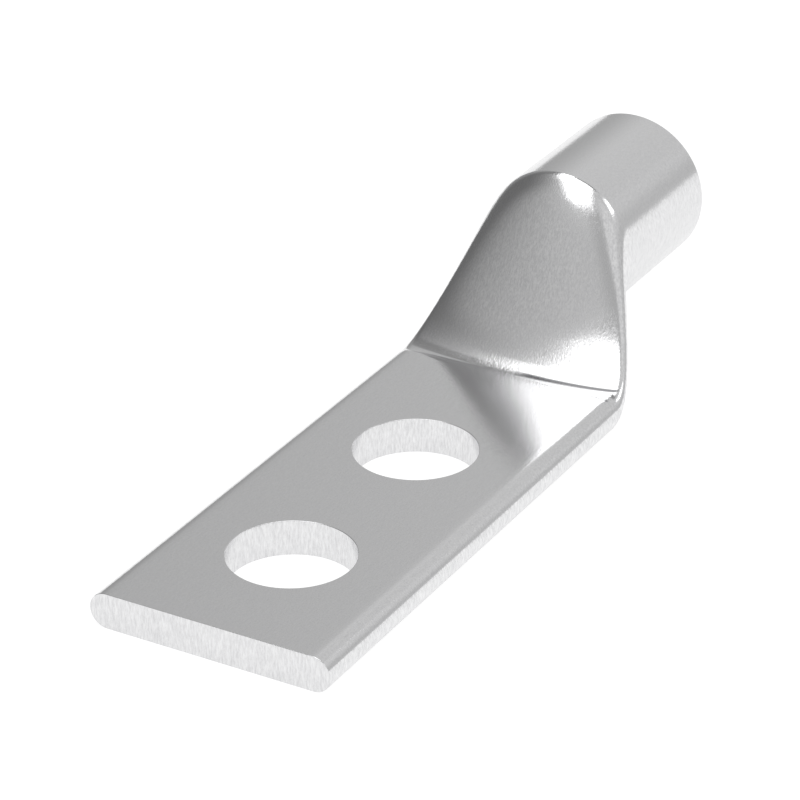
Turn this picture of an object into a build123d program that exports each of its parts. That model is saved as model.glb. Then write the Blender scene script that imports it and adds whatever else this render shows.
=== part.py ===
from build123d import *
import math
import os

# Two-hole compression lug made from one length of tube, in millimetres.
# The tube runs along +X: flat tongue, ramp, then round barrel with its mouth facing +X.
# The origin is midway between the stud holes, on the face that bears on the busbar.

# Tongue, where the tube is pressed flat
tongue_width = 13.9
tongue_thickness = 2.0

# Stud holes
hole_diameter = 6.75
hole_spacing = 12.7
hole_edge_distance = 7.9
drill_overrun = 1.0

# Ramp, where the tube opens from flat to round
ramp_from_hole = 9.85
ramp_length = 6.5
foot_reach = 1.26
crest_reach = 0.76
shoulder_angle = 36.5
early_crown = 0.45
ramp_sections = 9

# Barrel, which takes the stripped cable
barrel_diameter = 8.8
barrel_wall = 1.15
barrel_axis_height = 7.25
barrel_length = 9.05
mouth_chamfer = 0.3

# Hollow inside the ramp, which narrows until the pressed walls meet
hollow_sections = 7
hollow_end_gap = 0.3
hollow_end_share = 0.6
hollow_start_error = 0.001

# Places that follow from the sizes above
tongue_front_x = -hole_spacing / 2 - hole_edge_distance
ramp_start_x = hole_spacing / 2 + ramp_from_hole
crest_x = ramp_start_x + ramp_length
barrel_radius = barrel_diameter / 2
bore_radius = barrel_radius - barrel_wall
square_corner = math.radians(90)
round_corner = math.radians(shoulder_angle)


def oval(x, half_width, bottom_z, top_z, corner):
    """Section across the tube at x: side arcs that run smoothly into the top and bottom.

    The corner is the angle at which a side arc hands over to the top. At a right angle
    top and bottom are straight, and with equal height and width the oval is a circle.
    """
    middle_z = (top_z + bottom_z) / 2
    half_height = (top_z - bottom_z) / 2
    side_radius = half_height
    if corner < square_corner:
        spread = math.cos(corner) / (math.cos(corner) + math.sin(corner) - 1)
        side_radius = half_width - (half_width - half_height) * spread
    corner_y = half_width - side_radius * (1 - math.cos(corner))
    corner_z = side_radius * math.sin(corner)
    right_low = (corner_y, middle_z - corner_z)
    right_high = (corner_y, middle_z + corner_z)
    left_high = (-corner_y, middle_z + corner_z)
    left_low = (-corner_y, middle_z - corner_z)
    with BuildSketch(Plane.YZ.offset(x)) as section:
        with BuildLine():
            ThreePointArc(right_low, (half_width, middle_z), right_high)
            if corner < square_corner:
                ThreePointArc(right_high, (0, top_z), left_high)
            else:
                Line(right_high, left_high)
            ThreePointArc(left_high, (-half_width, middle_z), left_low)
            if corner < square_corner:
                ThreePointArc(left_low, (0, bottom_z), right_low)
            else:
                Line(left_low, right_low)
        make_face()
    return section.sketch


def rise(progress):
    """Share of the change from flat to round, level at the foot and at the crest."""
    return 3 * progress**2 - 2 * progress**3


def rise_rate(progress):
    return 6 * progress - 6 * progress**2


def ramp_x(progress):
    """Place along X. A longer reach keeps the ramp low at its foot, or high at its crest."""
    foot = foot_reach * (progress**3 - 2 * progress**2 + progress)
    crest = crest_reach * (progress**3 - progress**2)
    return ramp_start_x + ramp_length * (rise(progress) + foot + crest)


def ramp_x_rate(progress):
    foot = foot_reach * (3 * progress**2 - 4 * progress + 1)
    crest = crest_reach * (3 * progress**2 - 2 * progress)
    return ramp_length * (rise_rate(progress) + foot + crest)


def ramp_size(flat_value, round_value, wall, progress):
    """A size of the ramp's outside, moved in or out by the wall as a section across the tube cuts it."""
    change = round_value - flat_value
    slope = change * rise_rate(progress) / ramp_x_rate(progress)
    return flat_value + change * rise(progress) + wall * math.hypot(1, slope)


def ramp_outline(progress, wall=0):
    """Half width, bottom and top of the ramp's outside, or of the hollow inside a wall."""
    side = ramp_size(tongue_width / 2, barrel_radius, -wall, progress)
    bottom = ramp_size(0, barrel_axis_height - barrel_radius, wall, progress)
    top = ramp_size(tongue_thickness, barrel_axis_height + barrel_radius, -wall, progress)
    return side, bottom, top


def corner_at(progress):
    """The straight top crowns soon above the foot, then slowly up to the barrel's round."""
    crown = early_crown * progress * (2 - progress) + (1 - early_crown) * rise(progress)
    return square_corner + (round_corner - square_corner) * crown


def hollow_start():
    """Progress up the ramp at which the pressed walls part."""
    closed, opened = 0.0, 1.0
    while opened - closed > hollow_start_error:
        middle = (closed + opened) / 2
        side, bottom, top = ramp_outline(middle, barrel_wall)
        if top - bottom > hollow_end_gap:
            opened = middle
        else:
            closed = middle
    return opened


def make_ramp():
    sections = []
    for index in range(ramp_sections):
        progress = index / (ramp_sections - 1)
        sections.append(oval(ramp_x(progress), *ramp_outline(progress), corner_at(progress)))
    return loft(sections)


def make_hollow():
    """The pressed walls part in the middle first, so the hollow also widens as it opens."""
    start = hollow_start()
    sections = []
    for index in range(hollow_sections):
        opened = index / (hollow_sections - 1)
        progress = start + (1 - start) * opened
        side, bottom, top = ramp_outline(progress, barrel_wall)
        parted = hollow_end_share + (1 - hollow_end_share) * opened
        sections.append(oval(ramp_x(progress), side * parted, bottom, top, corner_at(opened)))
    return loft(sections)


def make_tongue():
    section = oval(ramp_start_x, tongue_width / 2, 0, tongue_thickness, square_corner)
    return extrude(section, amount=tongue_front_x - ramp_start_x)


def barrel_round(radius):
    start = Plane.YZ.offset(crest_x) * Location((0, barrel_axis_height))
    return extrude(start * Circle(radius), amount=barrel_length)


def make_lug():
    outside = make_tongue() + make_ramp() + barrel_round(barrel_radius)
    lug = outside - make_hollow() - barrel_round(bore_radius)
    mouth = lug.edges().group_by(Axis.X)[-1].sort_by(SortBy.RADIUS)[0]
    lug = chamfer(mouth, mouth_chamfer)
    drill = Pos(0, 0, tongue_thickness / 2) * Cylinder(hole_diameter / 2, tongue_thickness + 2 * drill_overrun)
    for place in GridLocations(hole_spacing, 0, 2, 1):
        lug -= place * drill
    return lug


os.makedirs("parts", exist_ok=True)
export_step(make_lug(), "parts/lug_body.step")
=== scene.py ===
import bpy
import bmesh
from math import cos, sin, pi, radians, hypot
from mathutils import Euler, Matrix, Vector


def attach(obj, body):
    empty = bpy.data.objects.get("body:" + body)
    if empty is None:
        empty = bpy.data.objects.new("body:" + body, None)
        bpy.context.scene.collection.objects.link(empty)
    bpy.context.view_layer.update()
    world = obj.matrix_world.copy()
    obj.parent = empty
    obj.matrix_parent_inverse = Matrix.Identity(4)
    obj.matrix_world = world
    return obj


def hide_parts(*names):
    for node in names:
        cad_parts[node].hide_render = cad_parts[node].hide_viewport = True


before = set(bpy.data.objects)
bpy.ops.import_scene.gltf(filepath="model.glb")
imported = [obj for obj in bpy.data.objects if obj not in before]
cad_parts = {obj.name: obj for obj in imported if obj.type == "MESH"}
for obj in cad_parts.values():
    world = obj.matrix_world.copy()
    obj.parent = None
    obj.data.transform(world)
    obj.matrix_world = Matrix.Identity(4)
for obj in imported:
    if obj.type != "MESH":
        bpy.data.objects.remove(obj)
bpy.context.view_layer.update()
mm = 0.001  # the sizes below are in millimetres, the scene is in metres
slack = 0.1 * mm  # for finding faces and edges by their place
slitSearch = 0.001  # how closely the place where the pressed walls part is worked out
straightTop = pi / 2 - 0.0001  # from this corner angle on, a section's top is straight

# a length of tube, pressed flat at one end, which stays round at the other
lug = {
    "tongueWidth": 13.9,
    "tongueThickness": 2.0,
    "frontEnd": -14.25,      # the tongue's cut end, from midway between the holes
    "holeDiameter": 6.75,
    "holeSpacing": 12.7,
    "rampStart": 16.2,
    "rampLength": 6.5,
    "footReach": 1.26,       # a longer reach keeps the ramp low at its foot
    "crestReach": 0.76,      # or high at its crest
    "shoulderAngle": 36.5,
    "earlyCrown": 0.45,
    "barrelDiameter": 8.8,
    "barrelWall": 1.15,
    "barrelHeight": 7.25,    # the barrel's axis above the contact face
    "barrelLength": 9.05,
    "mouthChamfer": 0.3,
    "slitGap": 0.3,          # where the pressed walls part inside the ramp
    "slitShare": 0.6,        # and how much of the width they have parted over there
    "edgeRound": 0.03,       # plating rounds each cut edge a little
    "roundSteps": 3,
    "cutAngle": 40,          # faces that meet at more degrees than this have a cut edge between them
}
# how many faces the skin has across its top, round each side, along a hole's square and along
# each stretch of the tube
skin = {"across": 36, "side": 24, "holePatch": 28, "ramp": 84, "barrel": 12, "hollow": 24}


def pick(piece):
    bpy.ops.object.select_all(action="DESELECT")
    piece.select_set(True)
    bpy.context.view_layer.objects.active = piece


# The ramp's formulas. Progress t runs from 0 at the foot to 1 at the crest.
def rise(t):
    return 3 * t**2 - 2 * t**3


def riseRate(t):
    return 6 * t - 6 * t**2


def rampX(t):
    reach = lug["footReach"] * (t**3 - 2 * t**2 + t) + lug["crestReach"] * (t**3 - t**2)
    return lug["rampStart"] + lug["rampLength"] * (rise(t) + reach)


def rampXRate(t):
    reach = lug["footReach"] * (3 * t**2 - 4 * t + 1) + lug["crestReach"] * (3 * t**2 - 2 * t)
    return lug["rampLength"] * (riseRate(t) + reach)


def rampOutline(t, wall=0.0):
    # half width, bottom and top of the outside, or of the hollow when a wall is given
    radius = lug["barrelDiameter"] / 2
    flatToRound = (
        (lug["tongueWidth"] / 2, radius, -wall),
        (0, lug["barrelHeight"] - radius, wall),
        (lug["tongueThickness"], lug["barrelHeight"] + radius, -wall),
    )
    outline = []
    for flat, full, inward in flatToRound:
        slope = (full - flat) * riseRate(t) / rampXRate(t)
        outline.append(flat + (full - flat) * rise(t) + inward * hypot(1, slope))
    return outline


def cornerAt(t):
    # the straight top crowns soon above the foot, then slowly up to the barrel's round
    crown = lug["earlyCrown"] * t * (2 - t) + (1 - lug["earlyCrown"]) * rise(t)
    return pi / 2 + (radians(lug["shoulderAngle"]) - pi / 2) * crown


def hollowStart():
    closed, opened = 0.0, 1.0
    while opened - closed > slitSearch:
        t = (closed + opened) / 2
        side, low, high = rampOutline(t, lug["barrelWall"])
        if high - low > lug["slitGap"]:
            opened = t
        else:
            closed = t
    return opened


def ovalRing(x, halfWidth, low, high, corner):
    # points round a section across the tube: side arcs that run smoothly into top and bottom
    middle, halfHeight = (high + low) / 2, (high - low) / 2
    sideRadius, topRadius = halfHeight, 0
    if corner < straightTop:
        spread = (halfWidth - halfHeight) / (cos(corner) + sin(corner) - 1)
        sideRadius = halfWidth - spread * cos(corner)
        topRadius = sideRadius + spread
    half = []
    for i in range(skin["side"]):
        angle = -corner + 2 * corner * i / skin["side"]
        half.append((halfWidth - sideRadius + sideRadius * cos(angle), sideRadius * sin(angle)))
    for i in range(skin["across"]):
        share = i / skin["across"]
        if topRadius:
            angle = corner + (pi - 2 * corner) * share
            half.append((topRadius * cos(angle), halfHeight - topRadius + topRadius * sin(angle)))
        else:
            half.append(((halfWidth - sideRadius) * (1 - 2 * share), halfHeight))
    points = half + [(-y, -z) for y, z in half]
    return [Vector((x, y, middle + z)) * mm for y, z in points]


def spaced(start, end, count):
    return [start + (end - start) * i / count for i in range(count)]


def eased(count):
    return [0.5 - 0.5 * cos(pi * i / count) for i in range(count)]


def holePatch():
    # half the side of the square of faces that makes room for a hole
    flatHalf = (lug["tongueWidth"] - lug["tongueThickness"]) / 2
    return flatHalf * skin["holePatch"] / skin["across"]


def allRings():
    # from the tongue's cut end over the ramp to the mouth, then back down the bore
    radius, height = lug["barrelDiameter"] / 2, lug["barrelHeight"]
    bore, chamfer = radius - lug["barrelWall"], lug["mouthChamfer"]
    half, hole = holePatch(), lug["holeSpacing"] / 2
    marks = [lug["frontEnd"], -hole - half, -hole + half, hole - half, hole + half, lug["rampStart"]]
    pitch = 2 * half / skin["holePatch"]
    rings = []
    for start, end in zip(marks, marks[1:]):
        for x in spaced(start, end, round((end - start) / pitch)):
            rings.append(ovalRing(x, lug["tongueWidth"] / 2, 0, lug["tongueThickness"], pi / 2))
    for t in eased(skin["ramp"]):
        rings.append(ovalRing(rampX(t), *rampOutline(t), cornerAt(t)))
    crest = lug["rampStart"] + lug["rampLength"]
    mouth = crest + lug["barrelLength"]
    rounds = [(x, radius) for x in spaced(crest, mouth, skin["barrel"])]
    rounds += [(mouth, radius), (mouth, bore + chamfer)]
    rounds += [(x, bore) for x in spaced(mouth - chamfer, crest, skin["barrel"])]
    for x, r in rounds:
        rings.append(ovalRing(x, r, height - r, height + r, cornerAt(1)))
    first = hollowStart()
    for closing in eased(skin["hollow"]) + [1]:
        t = 1 - (1 - first) * closing
        side, low, high = rampOutline(t, lug["barrelWall"])
        side *= 1 - (1 - lug["slitShare"]) * closing
        rings.append(ovalRing(rampX(t), side, low, high, cornerAt(1 - closing)))
    return rings


def placeSelected(piece, points):
    # each vertex keeps the seat round the tube that it had on the first ring
    mesh = bmesh.from_edit_mesh(piece.data)
    seat = mesh.verts.layers.int["seat"]
    for vertex in mesh.verts:
        if vertex.select:
            vertex.co = points[vertex[seat]]
    bmesh.update_edit_mesh(piece.data)


def makeSkin():
    rings = allRings()
    bpy.ops.object.select_all(action="DESELECT")
    bpy.ops.mesh.primitive_circle_add(vertices=len(rings[0]), radius=lug["barrelDiameter"] / 2 * mm)
    piece = bpy.context.object
    piece.name = "tinnedLug"
    seat = piece.data.attributes.new("seat", "INT", "POINT")
    seat.data.foreach_set("value", range(len(rings[0])))
    bpy.ops.object.mode_set(mode="EDIT")
    bpy.ops.mesh.select_mode(type="VERT")
    bpy.ops.mesh.select_all(action="SELECT")
    placeSelected(piece, rings[0])
    for points in rings[1:]:
        bpy.ops.mesh.extrude_region_move()
        placeSelected(piece, points)
    bpy.ops.mesh.select_all(action="SELECT")
    bpy.ops.mesh.fill_holes(sides=0)  # the cut end, and the slit inside the ramp
    bpy.ops.mesh.select_all(action="SELECT")
    bpy.ops.mesh.normals_make_consistent(inside=False)
    return piece


def selectWhere(piece, kind, test):
    bpy.ops.mesh.select_mode(type=kind)
    bpy.ops.mesh.select_all(action="DESELECT")
    mesh = bmesh.from_edit_mesh(piece.data)
    items = {"VERT": mesh.verts, "EDGE": mesh.edges, "FACE": mesh.faces}[kind]
    for item in items:
        if test(item):
            item.select = True
    mesh.select_flush_mode()
    bmesh.update_edit_mesh(piece.data)


def roundAngle(offset):
    # spreads the points of a square evenly round the circle inside it
    if abs(offset.x) >= abs(offset.y):
        return pi / 4 * offset.y / offset.x + (0 if offset.x > 0 else pi)
    return pi / 2 - pi / 4 * offset.x / offset.y + (0 if offset.y > 0 else pi)


def punchHole(piece, holeX):
    half, radius = holePatch() * mm, lug["holeDiameter"] / 2 * mm
    centre = Vector((holeX * mm, 0, 0))
    thickness = lug["tongueThickness"] * mm

    def inPatch(face):
        middle = face.calc_center_median()
        offset = middle - centre
        onFace = abs(middle.z) < slack or abs(middle.z - thickness) < slack
        return abs(offset.x) < half and abs(offset.y) < half and onFace

    selectWhere(piece, "FACE", inPatch)
    bpy.ops.mesh.delete(type="FACE")
    for z in (thickness, 0):
        def onRim(edge):
            offset = sum((v.co for v in edge.verts), Vector()) / 2 - centre
            return edge.is_boundary and abs(offset.x) < half + slack and abs(offset.z - z) < slack

        selectWhere(piece, "EDGE", onRim)
        bpy.ops.mesh.extrude_region_move()
        mesh = bmesh.from_edit_mesh(piece.data)
        for vertex in mesh.verts:
            if vertex.select:
                angle = roundAngle(vertex.co - centre)
                vertex.co = centre + Vector((radius * cos(angle), radius * sin(angle), z))
        bmesh.update_edit_mesh(piece.data)
    selectWhere(piece, "EDGE", lambda edge: edge.is_boundary)
    bpy.ops.mesh.bridge_edge_loops()


def roundCutEdges(piece):
    hollowEnd = rampX(hollowStart()) * mm
    mouth = (lug["rampStart"] + lug["rampLength"] + lug["barrelLength"]) * mm
    chamfered = mouth - 2 * lug["mouthChamfer"] * mm

    def isCut(edge):
        x = sum(v.co.x for v in edge.verts) / 2
        alongHollow = hollowEnd - slack < x < chamfered  # whose own edges stay sharp
        return not alongHollow and edge.calc_face_angle(0) > radians(lug["cutAngle"])

    bpy.ops.mesh.select_all(action="SELECT")
    bpy.ops.mesh.normals_make_consistent(inside=False)
    selectWhere(piece, "EDGE", isCut)
    bpy.ops.transform.edge_bevelweight(value=1)


finish = {
    "colour": (0.87, 0.87, 0.875, 1),
    "streakColour": (0.71, 0.71, 0.72, 1),
    "roughness": (0.08, 0.26),  # without the grain's streaks and in them
    "grain": (10.0, 10.0, 2.5),  # to the millimetre along each axis, so drawn out down the slopes
    "scratch": (3.0, 8.0, 1.2),
    "scratchShare": 0.5,
    "grainRange": (0.5, 1.0),  # the sum of both where a streak starts, and where it is full
    "grainDetail": 2,
    "grainMix": 0.6,
    "grainDepth": 0.004,
    "flatShare": 0.5,        # how much of the grain's colour and roughness the tongue's top shows
    "flatFacing": (0.7, 1),  # how far up a face looks where it starts to count as level, and does
    # from and to along x, and a factor: the contrast grows toward the pressed ramp, then falls
    # toward the drawn barrel
    "contrast": ((15.5, 17.5, 1.35), (21.5, 23.5, 0.5)),
    # painted shade along the crease at the ramp's foot, standing in for a groove's shading: its
    # colour, height, width, ends and facing
    "creaseShadeColour": (0.165, 0.165, 0.17, 1),
    "creaseShadeHeight": 0.07,     # painted shade: a dark line in the crease, centred where the ramp has risen this far
    "creaseShadeWidth": 0.065,
    "creaseShadeEnds": ((-0.2, -1.3), (-6.6, -6.3)),  # where it starts and is full, from either end
    "creaseShadeFacing": (0.75, 0.85),  # how far up a face looks where it starts, and is full
}


# These three take the material or the world whose nodes they work on.
def link(owner, output, socket):
    owner.node_tree.links.new(output, socket)


def remap(owner, source, start, end, low=0, high=1, curve="LINEAR"):
    # runs from low to high as the source goes from start to end
    step = owner.node_tree.nodes.new("ShaderNodeMapRange")
    step.interpolation_type = curve
    step.inputs["From Min"].default_value = start
    step.inputs["From Max"].default_value = end
    step.inputs["To Min"].default_value = low
    step.inputs["To Max"].default_value = high
    link(owner, source, step.inputs["Value"])
    return step.outputs["Result"]


def multiply(owner, first, second):
    product = owner.node_tree.nodes.new("ShaderNodeMath")
    product.operation = "MULTIPLY"
    link(owner, first, product.inputs[0])
    link(owner, second, product.inputs[1])
    return product.outputs[0]


def noise(material, perMillimetre):
    nodes = material.node_tree.nodes
    coordinates = nodes.new("ShaderNodeTexCoord")
    scaled = nodes.new("ShaderNodeMapping")
    scaled.inputs["Scale"].default_value = [count / mm for count in perMillimetre]
    pattern = nodes.new("ShaderNodeTexNoise")
    pattern.inputs["Scale"].default_value = 1
    pattern.inputs["Detail"].default_value = finish["grainDetail"]
    pattern.inputs["Roughness"].default_value = finish["grainMix"]
    link(material, coordinates.outputs["Object"], scaled.inputs["Vector"])
    link(material, scaled.outputs["Vector"], pattern.inputs["Vector"])
    return pattern.outputs["Fac"]


def tinPlate():
    material = bpy.data.materials.new("tinPlate")
    material.use_nodes = True
    nodes = material.node_tree.nodes
    shader = nodes["Principled BSDF"]
    shader.inputs["Metallic"].default_value = 1
    coordinates = nodes.new("ShaderNodeTexCoord")
    place = nodes.new("ShaderNodeSeparateXYZ")
    facing = nodes.new("ShaderNodeSeparateXYZ")
    link(material, coordinates.outputs["Object"], place.inputs[0])
    link(material, coordinates.outputs["Normal"], facing.inputs[0])

    # fine grain with longer scratches in it, as bump
    both = nodes.new("ShaderNodeMath")
    both.operation = "MULTIPLY_ADD"
    both.inputs[1].default_value = finish["scratchShare"]
    link(material, noise(material, finish["scratch"]), both.inputs[0])
    link(material, noise(material, finish["grain"]), both.inputs[2])
    bump = nodes.new("ShaderNodeBump")
    bump.inputs["Distance"].default_value = finish["grainDepth"] * mm
    link(material, both.outputs[0], bump.inputs["Height"])
    link(material, bump.outputs["Normal"], shader.inputs["Normal"])

    # It colours and roughens the tongue's top less than the rest. The streaks are centred on
    # zero while the contrast works on them.
    streaks = remap(material, both.outputs[0], *finish["grainRange"], -0.5, 0.5)
    for start, full, contrast in finish["contrast"]:
        change = remap(material, place.outputs["X"], start * mm, full * mm, 1, contrast)
        streaks = multiply(material, streaks, change)
    strength = remap(material, facing.outputs["Z"], *finish["flatFacing"], 1, finish["flatShare"])
    share = multiply(material, remap(material, streaks, -0.5, 0.5), strength)
    link(material, remap(material, share, 0, 1, *finish["roughness"]), shader.inputs["Roughness"])
    streaked = nodes.new("ShaderNodeMix")
    streaked.data_type = "RGBA"
    streaked.inputs["A"].default_value = finish["colour"]
    streaked.inputs["B"].default_value = finish["streakColour"]
    link(material, share, streaked.inputs["Factor"])

    # painted shade: a dark line on top along the ramp's foot, where the crease would be shaded
    middle = (lug["tongueThickness"] + finish["creaseShadeHeight"]) * mm
    width = finish["creaseShadeWidth"] * mm
    core = width / 3  # beyond this it fades out
    line = multiply(
        material,
        remap(material, place.outputs["Z"], middle - width, middle - core),
        remap(material, place.outputs["Z"], middle + width, middle + core),
    )
    line = multiply(material, line, remap(material, facing.outputs["Z"], *finish["creaseShadeFacing"]))
    for start, full in finish["creaseShadeEnds"]:
        line = multiply(material, line, remap(material, place.outputs["Y"], start * mm, full * mm))
    creaseShaded = nodes.new("ShaderNodeMix")
    creaseShaded.data_type = "RGBA"
    creaseShaded.inputs["B"].default_value = finish["creaseShadeColour"]
    link(material, streaked.outputs["Result"], creaseShaded.inputs["A"])
    link(material, line, creaseShaded.inputs["Factor"])
    link(material, creaseShaded.outputs["Result"], shader.inputs["Base Color"])
    return material


def makeLug():
    piece = makeSkin()
    for side in (-1, 1):
        punchHole(piece, side * lug["holeSpacing"] / 2)
    roundCutEdges(piece)
    bpy.ops.object.mode_set(mode="OBJECT")
    piece.data.materials.append(tinPlate())
    pick(piece)
    bpy.ops.object.shade_smooth_by_angle(angle=radians(lug["cutAngle"]))
    bevel = piece.modifiers.new("edgeRound", "BEVEL")
    bevel.limit_method = "WEIGHT"
    bevel.width = lug["edgeRound"] * mm
    bevel.segments = lug["roundSteps"]
    bevel.harden_normals = True
    bpy.ops.object.modifier_apply(modifier="edgeRound")
    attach(piece, "root")
    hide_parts("lug_body")
    print("lug:", len(piece.data.polygons), "faces")


studio = {
    "camera": (-144.77, -85.76, 96.31),  # in millimetres
    "elevation": 27.738,
    "azimuth": -150.154,
    "roll": -0.255,
    "lens": 167.95,
    "sensor": 36,
    "clip": (0.01, 100),     # in metres, as are the floor, the softboxes and the lamp
    "floorSize": 30,
    "floorShade": 0.26,
    "floorGlow": 0.865,      # what the camera sees of the floor, on top of its shading
    "mirroredGlow": 0.78,    # what the metal mirrors of the floor
    "boxHeight": 1.0,        # the softboxes and the lamp hang level at this height
    "farSoftbox": ((-1.36, -0.38), (-0.31, 0.39), 0.44),  # from and to along x, along y, corner cut
    "nearSoftbox": ((-0.38, 0.45), (-0.31, 0.46), 0),
    "narrowSoftbox": ((0.45, 0.8), (0.17, 0.46), 0),
    "sideLamp": ((0.35, 1.1), (-1.25, -0.75)),
    "boxLevel": 2.0,
    "wallLevel": 0.56,
}
# Grey layers over the walls' own level. Each has its level and its limits, and each limit gives
# a direction and how far along it the layer starts and is full.
wallLayers = (
    (0.63, (((1, 0, 0), -0.34, 0.79),)),  # lighter beyond the mouth
    (0.30, (((0.03, 1, 0), 0.18, 0.88),)),  # darker along +Y
    (0.49, (((-0.811, -0.207, 0.548), 0.98, 0.998),)),  # a round patch near the camera
    (0.55, (((0.743, -0.644, 0.184), 0.88, 0.99),)),  # a larger one beyond the mouth, low toward -Y
    # dark on the mouth's side, high up and over toward +Y
    (0.27, (
        ((1, 0, 0), 0.0, 0.1),
        ((0.766, 0, -0.643), 0.05, -0.05),
        ((0, 1, 0), -0.36, -0.25),
    )),
    # darkest along +Y itself
    (0.165, (
        ((0.755, 0.24, 0.61), -0.16, 0.18),
        ((0, 0.94, -0.342), 0.04, 0.65),
        ((1, 0, 0), 0.52, 0.11),
    )),
    # a light band along -Y, halfway up
    (0.66, (
        ((0, -0.766, -0.643), -0.14, 0.10),
        ((0, -0.5, -0.866), 0.21, -0.08),
        ((1, 0, 0), -0.76, -0.52),
    )),
    # toward -X a dark stripe, then light over to -Y, which the ramp's shoulder mirrors
    (0.45, (((1, 0, 0), -0.5, -0.65), ((0, -1, 0), 0.14, 0.26))),
    (0.74, (((1, 0, 0), 0.1, -0.2), ((0, -1, 0), 0.4, 0.52))),
)


def makeCamera():
    bpy.ops.object.camera_add()
    camera = bpy.context.object
    place = Matrix.Translation(Vector(studio["camera"]) * mm)
    turn = Euler((radians(90 - studio["elevation"]), 0, radians(90 + studio["azimuth"])))
    roll = Matrix.Rotation(radians(studio["roll"]), 4, "Z")
    camera.matrix_world = place @ turn.to_matrix().to_4x4() @ roll
    camera.data.lens = studio["lens"]
    camera.data.sensor_width = studio["sensor"]
    camera.data.clip_start, camera.data.clip_end = studio["clip"]
    bpy.context.scene.camera = camera
    print("camera:", studio["lens"], "mm lens")


def makeFloor():
    bpy.ops.mesh.primitive_plane_add(size=studio["floorSize"])
    floor = bpy.context.object
    floor.name = "floor"
    material = bpy.data.materials.new("paleFloor")
    material.use_nodes = True
    nodes = material.node_tree.nodes
    nodes.remove(nodes["Principled BSDF"])
    shade = nodes.new("ShaderNodeBsdfDiffuse")
    shade.inputs["Color"].default_value = (*[studio["floorShade"]] * 3, 1)
    glow = nodes.new("ShaderNodeEmission")
    path = nodes.new("ShaderNodeLightPath")
    seen = (
        ("Is Camera Ray", studio["floorGlow"]),
        ("Is Glossy Ray", studio["mirroredGlow"]),
        ("Is Transmission Ray", studio["mirroredGlow"]),
    )
    strength = None
    for ray, amount in seen:
        step = nodes.new("ShaderNodeMath")
        step.operation = "MULTIPLY_ADD"
        step.inputs[1].default_value = amount
        step.inputs[2].default_value = 0
        link(material, path.outputs[ray], step.inputs[0])
        if strength:
            link(material, strength, step.inputs[2])
        strength = step.outputs[0]
    both = nodes.new("ShaderNodeAddShader")
    link(material, strength, glow.inputs["Strength"])
    link(material, shade.outputs[0], both.inputs[0])
    link(material, glow.outputs[0], both.inputs[1])
    link(material, both.outputs[0], nodes["Material Output"].inputs["Surface"])
    floor.data.materials.append(material)
    print("floor:", studio["floorSize"], "metres")


def makeSoftbox(name):
    # a level panel, which may have its corner at -X and -Y cut away
    (left, right), (near, far), cornerCut = studio[name]
    middleX, middleY = (left + right) / 2, (near + far) / 2
    bpy.ops.object.select_all(action="DESELECT")
    bpy.ops.mesh.primitive_plane_add(size=1)
    panel = bpy.context.object
    panel.name = name
    bpy.ops.object.mode_set(mode="EDIT")
    bpy.ops.transform.resize(value=(right - left, far - near, 1))
    bpy.ops.transform.translate(value=(middleX, middleY, studio["boxHeight"]))
    if cornerCut:
        selectWhere(panel, "VERT", lambda corner: corner.co.x < middleX and corner.co.y < middleY)
        bpy.ops.mesh.bevel(offset=cornerCut, affect="VERTICES")
    bpy.ops.object.mode_set(mode="OBJECT")
    material = bpy.data.materials.new("softboxCloth")
    material.use_nodes = True
    nodes = material.node_tree.nodes
    nodes.remove(nodes["Principled BSDF"])
    glow = nodes.new("ShaderNodeEmission")
    glow.inputs["Strength"].default_value = studio["boxLevel"]
    link(material, glow.outputs[0], nodes["Material Output"].inputs["Surface"])
    panel.data.materials.append(material)
    panel.visible_camera = False
    print("softbox:", name)


def makeSideLamp():
    (left, right), (near, far) = studio["sideLamp"]
    place = ((left + right) / 2, (near + far) / 2, studio["boxHeight"])
    bpy.ops.object.light_add(type="AREA", location=place)
    lamp = bpy.context.object
    lamp.name = "sideLamp"
    lamp.data.shape = "RECTANGLE"
    lamp.data.size, lamp.data.size_y = right - left, far - near
    lamp.data.energy = studio["boxLevel"] * pi * (right - left) * (far - near)
    lamp.visible_camera = False
    print("lamp:", round(lamp.data.energy, 1), "watts")


def makeWorld():
    world = bpy.data.worlds.new("studioWalls")
    bpy.context.scene.world = world
    world.use_nodes = True
    nodes = world.node_tree.nodes
    coordinates = nodes.new("ShaderNodeTexCoord")
    level = None
    for layerLevel, limits in wallLayers:
        cover = None
        for direction, start, full in limits:
            along = nodes.new("ShaderNodeVectorMath")
            along.operation = "DOT_PRODUCT"
            along.inputs[1].default_value = direction
            link(world, coordinates.outputs["Generated"], along.inputs[0])
            edge = remap(world, along.outputs["Value"], start, full, curve="SMOOTHSTEP")
            cover = multiply(world, cover, edge) if cover else edge
        layer = nodes.new("ShaderNodeMix")
        layer.inputs["A"].default_value = studio["wallLevel"]
        layer.inputs["B"].default_value = layerLevel
        link(world, cover, layer.inputs["Factor"])
        if level:
            link(world, level, layer.inputs["A"])
        level = layer.outputs["Result"]
    walls = nodes["Background"]
    white = nodes.new("ShaderNodeBackground")
    white.inputs["Color"].default_value = (1, 1, 1, 1)
    path = nodes.new("ShaderNodeLightPath")
    mix = nodes.new("ShaderNodeMixShader")
    link(world, level, walls.inputs["Color"])
    link(world, path.outputs["Is Camera Ray"], mix.inputs[0])
    link(world, walls.outputs[0], mix.inputs[1])
    link(world, white.outputs[0], mix.inputs[2])
    link(world, mix.outputs[0], nodes["World Output"].inputs["Surface"])
    print("walls:", len(wallLayers), "layers")


makeLug()
makeCamera()
makeFloor()
for softbox in ("farSoftbox", "nearSoftbox", "narrowSoftbox"):
    makeSoftbox(softbox)
makeSideLamp()
makeWorld()
bpy.context.scene.view_settings.view_transform = "Standard"
